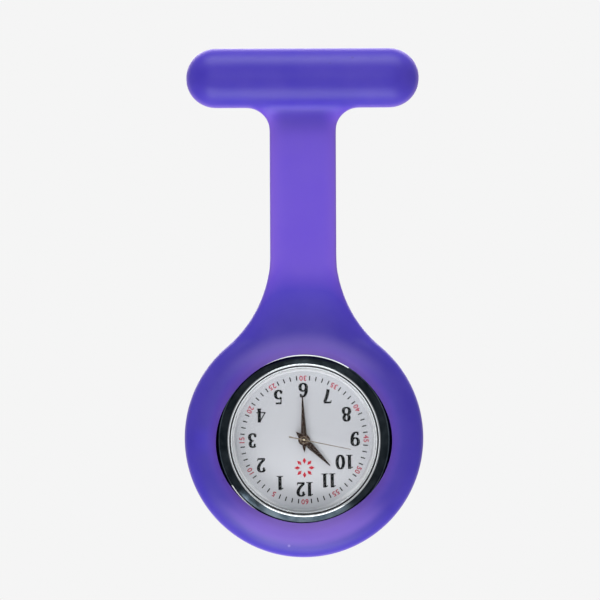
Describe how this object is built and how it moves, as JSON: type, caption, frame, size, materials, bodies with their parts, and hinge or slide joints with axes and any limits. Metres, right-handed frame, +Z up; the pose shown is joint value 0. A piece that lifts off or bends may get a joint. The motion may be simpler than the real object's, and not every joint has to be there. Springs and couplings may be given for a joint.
{
  "type": "nurse fob watch",
  "caption": "Silicone nurse's fob watch: analogue quartz watch head pushed into a soft ring, hung by a flat strap from a T-bar with a safety brooch pin behind it.",
  "frame": {"origin": "middle of the brooch needle's free length, on its axis", "axes": "+X along the needle towards its point, to the right seen from the front; +Y to the rear, towards the wearer's cloth; +Z up; the dial faces -Y"},
  "size_m": [0.0404, 0.0106, 0.0858],
  "materials": {
    "silicone": "soft matt, slightly translucent",
    "case_steel": "polished",
    "back_steel": "satin",
    "mineral_glass": "polished, flat",
    "dial_silver": "fine satin lacquer",
    "flange_white": "matt",
    "hand_dark": "dark faceted plating",
    "hand_pale": "pale plating",
    "pin_steel": "bright nickel",
    "gasket_black": "matt",
    "movement_plastic": "matt",
    "plate_resin": "matt",
    "bridge_brass": "satin",
    "wheel_resin": "moulded",
    "wheel_brass": "fine",
    "soft_iron": "satin",
    "magnet": "ground",
    "copper_wire": "enamelled wire",
    "board_green": "solder mask",
    "chip_black": "matt",
    "cell_steel": "satin",
    "spring_steel": "plain"
  },
  "bodies": {
    "holder": {"silicone_holder": "silicone", "brooch_bar": "pin_steel", "brooch_rivet": "pin_steel"},
    "needle": {"brooch_needle": "pin_steel"},
    "catch": {"brooch_catch": "pin_steel"},
    "head": {"watch_case": "case_steel", "crown_tube": "case_steel", "crystal": "mineral_glass", "crystal_gasket": "flange_white", "case_back": "back_steel", "case_back_gasket": "gasket_black", "dial_flange": "flange_white", "dial": "dial_silver", "movement_ring": "movement_plastic", "main_plate": "plate_resin", "train_bridge": "bridge_brass", "movement_screws": "spring_steel", "motor_stator": "soft_iron", "coil_core": "soft_iron", "coil_winding": "copper_wire", "circuit_board": "board_green", "quartz_resonator": "cell_steel", "timing_chip": "chip_black", "battery": "cell_steel", "battery_contact": "spring_steel", "battery_clamp": "spring_steel"},
    "stem_carrier": {"crown_gasket": "gasket_black"},
    "crown_set": {"crown": "case_steel", "winding_stem": "spring_steel", "setting_pinion": "wheel_brass"},
    "lever": {"setting_lever": "spring_steel"},
    "second_train": {"second_hand": "hand_pale", "second_wheel": "wheel_resin"},
    "intermediate": {"intermediate_wheel": "wheel_resin"},
    "rotor": {"motor_rotor": "magnet"},
    "third": {"third_wheel": "wheel_resin"},
    "minute_train": {"minute_hand": "hand_dark", "centre_wheel": "wheel_brass"},
    "minute_work": {"minute_wheel": "wheel_brass"},
    "hour_train": {"hour_hand": "hand_dark", "hour_wheel": "wheel_brass"},
    "setting": {"setting_wheel": "wheel_brass"}
  },
  "joints": [
    {"name": "needle_hinge", "type": "hinge", "parent": "holder", "child": "needle", "pos_m": [-0.01376, 0, 0], "axis": [0, 0, 1], "range_deg": [0, 75]},
    {"name": "catch_turn", "type": "hinge", "parent": "holder", "child": "catch", "pos_m": [0.0128, 0, 0], "axis": [1, 0, 0], "range_deg": [-100, 0]},
    {"name": "head_release", "type": "slide", "parent": "holder", "child": "head", "axis": [0, -1, 0], "range_m": [0, 0.012], "deforming": ["silicone_holder"]},
    {"name": "crown_pull", "type": "slide", "parent": "head", "child": "stem_carrier", "axis": [-1, 0, 0], "range_m": [0, 0.0008]},
    {"name": "crown_turn", "type": "hinge", "parent": "stem_carrier", "child": "crown_set", "pos_m": [-0.015, -0.0039, -0.0612], "axis": [-1, 0, 0], "continuous": true},
    {"name": "lever_swing", "type": "hinge", "parent": "head", "child": "lever", "pos_m": [-0.0073, -0.0039, -0.0632], "axis": [0, 1, 0], "range_deg": [-27.5, 1]},
    {"name": "second_spin", "type": "hinge", "parent": "head", "child": "second_train", "pos_m": [0, -0.005, -0.0612], "axis": [0, 1, 0], "continuous": true},
    {"name": "intermediate_spin", "type": "hinge", "parent": "head", "child": "intermediate", "pos_m": [-0.0007, -0.003, -0.06312], "axis": [0, 1, 0], "continuous": true},
    {"name": "rotor_spin", "type": "hinge", "parent": "head", "child": "rotor", "pos_m": [-0.0007, -0.003, -0.0648], "axis": [0, 1, 0], "continuous": true},
    {"name": "third_spin", "type": "hinge", "parent": "head", "child": "third", "pos_m": [-0.00086, -0.003, -0.05935], "axis": [0, 1, 0], "continuous": true},
    {"name": "minute_spin", "type": "hinge", "parent": "head", "child": "minute_train", "pos_m": [0, -0.005, -0.0612], "axis": [0, 1, 0], "continuous": true},
    {"name": "minute_wheel_spin", "type": "hinge", "parent": "head", "child": "minute_work", "pos_m": [-0.0017, -0.0045, -0.06014], "axis": [0, 1, 0], "continuous": true},
    {"name": "hour_spin", "type": "hinge", "parent": "head", "child": "hour_train", "pos_m": [0, -0.005, -0.0612], "axis": [0, 1, 0], "continuous": true},
    {"name": "setting_wheel_spin", "type": "hinge", "parent": "head", "child": "setting", "pos_m": [-0.00416, -0.0045, -0.06057], "axis": [0, 1, 0], "continuous": true}
  ],
  "couplings": [
    {"joint": "lever_swing", "follows": "crown_pull", "rad_per_m": -586.9},
    {"joint": "intermediate_spin", "follows": "second_spin", "ratio": -5},
    {"joint": "rotor_spin", "follows": "second_spin", "ratio": 30},
    {"joint": "third_spin", "follows": "second_spin", "ratio": -0.13333},
    {"joint": "minute_spin", "follows": "second_spin", "ratio": 0.016667},
    {"joint": "minute_wheel_spin", "follows": "second_spin", "ratio": -0.0055556},
    {"joint": "hour_spin", "follows": "second_spin", "ratio": 0.0013889},
    {"joint": "setting_wheel_spin", "follows": "second_spin", "ratio": 0.0083333}
  ]
}
